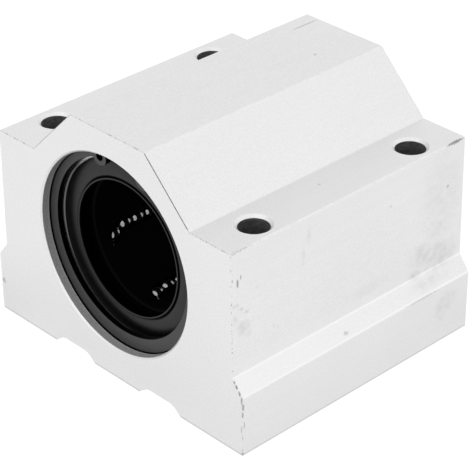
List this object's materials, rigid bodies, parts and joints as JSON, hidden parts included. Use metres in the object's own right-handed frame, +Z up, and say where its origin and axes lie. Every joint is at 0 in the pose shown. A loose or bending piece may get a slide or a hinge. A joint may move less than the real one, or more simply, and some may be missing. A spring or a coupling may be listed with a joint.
{
  "type": "linear bearing block",
  "caption": "Closed linear ball bearing in a rectangular aluminium housing with bolt holes through its shoulders, for a round shaft.",
  "frame": {"origin": "centre of the mounting face, which is also the bottom centre of the part's box", "axes": "+Z up out of the mounting face, Y along the shaft, X across the block; the front end faces -Y"},
  "size_m": [0.102, 0.09, 0.0778],
  "materials": {
    "housing_aluminium": "fine matt silver, machined ends and bore",
    "bearing_steel": "ground steel",
    "cage_plastic": "black moulded resin",
    "seal_case_steel": "blackened steel with a bright rim",
    "seal_rubber": "smooth black nitrile rubber",
    "ring_spring_steel": "dark phosphated spring steel",
    "ball_steel": "polished bearing steel"
  },
  "bodies": {
    "root": {"housing": "housing_aluminium", "outer_sleeve": "bearing_steel", "ball_cage": "cage_plastic", "front_side_ring": "bearing_steel", "front_seal_case": "seal_case_steel", "front_seal": "seal_rubber", "front_retaining_ring": "ring_spring_steel", "rear_side_ring": "bearing_steel", "rear_seal_case": "seal_case_steel", "rear_seal": "seal_rubber", "rear_retaining_ring": "ring_spring_steel", "load_balls_1": "ball_steel", "return_balls_1": "ball_steel", "load_balls_2": "ball_steel", "return_balls_2": "ball_steel", "load_balls_3": "ball_steel", "return_balls_3": "ball_steel", "load_balls_4": "ball_steel", "return_balls_4": "ball_steel", "load_balls_5": "ball_steel", "return_balls_5": "ball_steel", "load_balls_6": "ball_steel", "return_balls_6": "ball_steel"}
  },
  "joints": []
}
